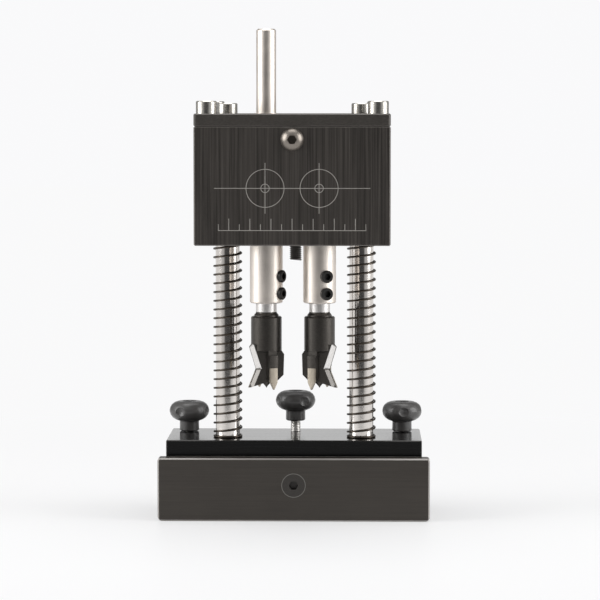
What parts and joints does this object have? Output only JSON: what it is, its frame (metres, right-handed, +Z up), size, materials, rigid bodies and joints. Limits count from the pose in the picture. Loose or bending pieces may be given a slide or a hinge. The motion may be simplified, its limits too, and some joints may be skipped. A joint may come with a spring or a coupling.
{
  "type": "hinge drilling jig",
  "caption": "Sprung drilling jig on guide columns, with a geared head that turns a pair of cutter bits, a fence, a depth stop and lock knobs.",
  "frame": {"origin": "on the underside of the base, midway between the two guide columns", "axes": "+X to the operator's right along the fence, +Y away from the fence, +Z up along the drilling axes"},
  "size_m": [0.133, 0.09, 0.2392],
  "materials": {
    "black_aluminium": "black anodised, fine brushed lines",
    "plate_aluminium": "black anodised, fine satin",
    "fence_aluminium": "dark brownish grey anodised, satin",
    "screw_steel": "bright zinc plated",
    "dark_screw_steel": "black oxide",
    "ground_steel": "ground bright",
    "bearing_steel": "polished",
    "gear_steel": "machined",
    "spring_steel": "dark oil-tempered wire",
    "bronze": "sintered bronze",
    "bit_steel": "dark satin coating, ground wings",
    "carbide": "ground carbide",
    "black_plastic": "glossy moulded"
  },
  "bodies": {
    "base": {"base_block": "black_aluminium", "fence_plate": "fence_aluminium", "fence_screw": "screw_steel", "fence_dowels": "ground_steel", "left_column": "ground_steel", "right_column": "ground_steel", "column_foot_screws": "screw_steel", "column_top_screws": "screw_steel", "stop_washers": "screw_steel", "left_spring": "spring_steel", "right_spring": "spring_steel"},
    "carriage": {"gear_housing": "black_aluminium", "top_plate": "plate_aluminium", "plate_screws": "screw_steel", "filler_plug": "screw_steel", "stop_stud": "dark_screw_steel", "left_bush": "bronze", "right_bush": "bronze", "left_lower_bearing": "bearing_steel", "left_upper_bearing": "bearing_steel", "right_lower_bearing": "bearing_steel", "right_upper_bearing": "bearing_steel"},
    "left_drive": {"left_spindle": "ground_steel", "left_set_screws": "dark_screw_steel", "left_clip": "spring_steel", "left_spacers": "ground_steel", "left_gear": "gear_steel", "left_key": "ground_steel", "left_bit": "bit_steel", "left_bit_tips": "carbide"},
    "right_drive": {"right_spindle": "ground_steel", "right_set_screws": "dark_screw_steel", "right_clip": "spring_steel", "right_spacers": "ground_steel", "right_gear": "gear_steel", "right_key": "ground_steel", "right_bit": "bit_steel", "right_bit_tips": "carbide"},
    "depth_screw": {"depth_stud": "ground_steel"},
    "depth_handle": {"depth_knob": "black_plastic"},
    "left_lock_screw": {"left_lock_stud": "ground_steel"},
    "left_lock_handle": {"left_lock_knob": "black_plastic"},
    "right_lock_screw": {"right_lock_stud": "ground_steel"},
    "right_lock_handle": {"right_lock_knob": "black_plastic"}
  },
  "joints": [
    {"name": "plunge", "type": "slide", "parent": "base", "child": "carriage", "axis": [0, 0, -1], "range_m": [0, 0.065], "stiffness_N_per_m": 360, "springref_m": -0.06, "deforming": ["left_spring", "right_spring"]},
    {"name": "left_spin", "type": "hinge", "parent": "carriage", "child": "left_drive", "pos_m": [-0.0128, -0.0335, 0.17], "axis": [0, 0, 1], "continuous": true},
    {"name": "right_spin", "type": "hinge", "parent": "carriage", "child": "right_drive", "pos_m": [0.0128, -0.0335, 0.17], "axis": [0, 0, 1], "continuous": true},
    {"name": "depth_travel", "type": "slide", "parent": "base", "child": "depth_screw", "axis": [0, 0, -1], "range_m": [0, 0.0055]},
    {"name": "depth_turn", "type": "hinge", "parent": "depth_screw", "child": "depth_handle", "pos_m": [0, 0.024, 0.045], "axis": [0, 0, -1], "range_deg": [0, 2476]},
    {"name": "left_lock_travel", "type": "slide", "parent": "base", "child": "left_lock_screw", "axis": [0, 0, 1], "range_m": [0, 0.004]},
    {"name": "left_lock_turn", "type": "hinge", "parent": "left_lock_screw", "child": "left_lock_handle", "pos_m": [-0.0536, 0.024, 0.045], "axis": [0, 0, 1], "range_deg": [0, 1801]},
    {"name": "right_lock_travel", "type": "slide", "parent": "base", "child": "right_lock_screw", "axis": [0, 0, 1], "range_m": [0, 0.004]},
    {"name": "right_lock_turn", "type": "hinge", "parent": "right_lock_screw", "child": "right_lock_handle", "pos_m": [0.0536, 0.024, 0.045], "axis": [0, 0, 1], "range_deg": [0, 1801]}
  ],
  "couplings": [
    {"joint": "right_spin", "follows": "left_spin", "ratio": -1},
    {"joint": "depth_turn", "follows": "depth_travel", "rad_per_m": 7854},
    {"joint": "left_lock_turn", "follows": "left_lock_travel", "rad_per_m": 7854},
    {"joint": "right_lock_turn", "follows": "right_lock_travel", "rad_per_m": 7854}
  ]
}
